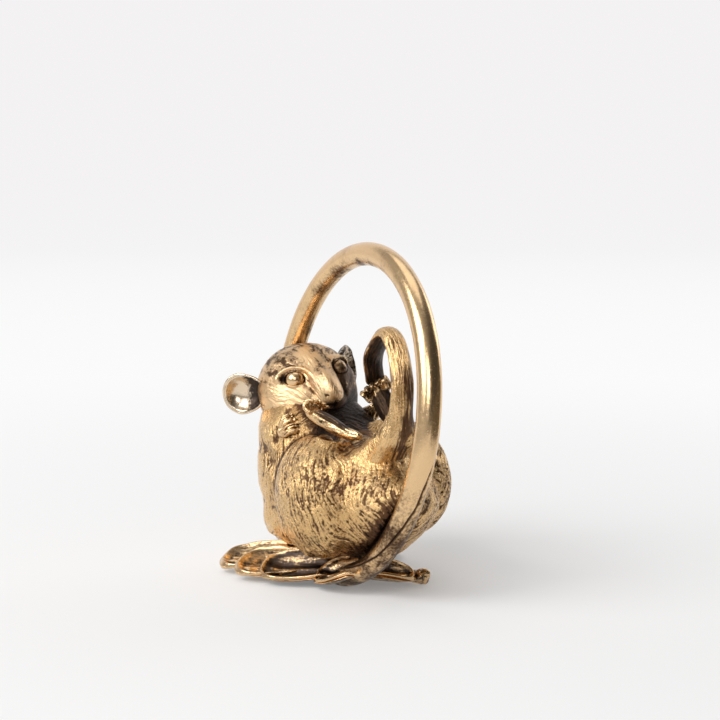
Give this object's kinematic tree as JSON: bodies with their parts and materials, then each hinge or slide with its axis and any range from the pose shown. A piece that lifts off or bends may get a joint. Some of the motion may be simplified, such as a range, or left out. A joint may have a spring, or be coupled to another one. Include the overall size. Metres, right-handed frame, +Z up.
{
  "type": "dormouse figurine",
  "caption": "Small cast brass dormouse curled on its back inside an upright ring, resting on a spray of leaves, a free-standing shelf ornament.",
  "frame": {"origin": "the middle of the flat filed on the foot of the hoop", "axes": "+Z up, +X the way the animal's head looks, along the hoop, +Y to the animal's left, across the hoop"},
  "size_m": [0.0412, 0.0244, 0.0403],
  "materials": {
    "rubbed_brass": "rubbed bright, dark patina left in the hollows",
    "fur_brass": "cast with fur strokes and pits, dark patina in the recesses, worn gold on the high places",
    "leaf_brass": "dark glossy patina, rims worn to gold"
  },
  "bodies": {
    "root": {"hoop": "rubbed_brass", "torso": "fur_brass", "right_haunch": "fur_brass", "left_haunch": "fur_brass", "tail": "fur_brass", "head": "fur_brass", "right_eye": "rubbed_brass", "left_eye": "rubbed_brass", "right_ear": "rubbed_brass", "left_ear": "rubbed_brass", "right_forepaw": "fur_brass", "left_forepaw": "fur_brass", "right_hind_foot": "rubbed_brass", "left_hind_foot": "rubbed_brass", "twig": "leaf_brass", "leaf_rear_right": "leaf_brass", "leaf_right": "leaf_brass", "leaf_front_right": "leaf_brass", "leaf_front": "leaf_brass", "leaf_tail": "leaf_brass", "leaf_left": "leaf_brass", "leaf_rear_left": "leaf_brass"}
  },
  "joints": []
}
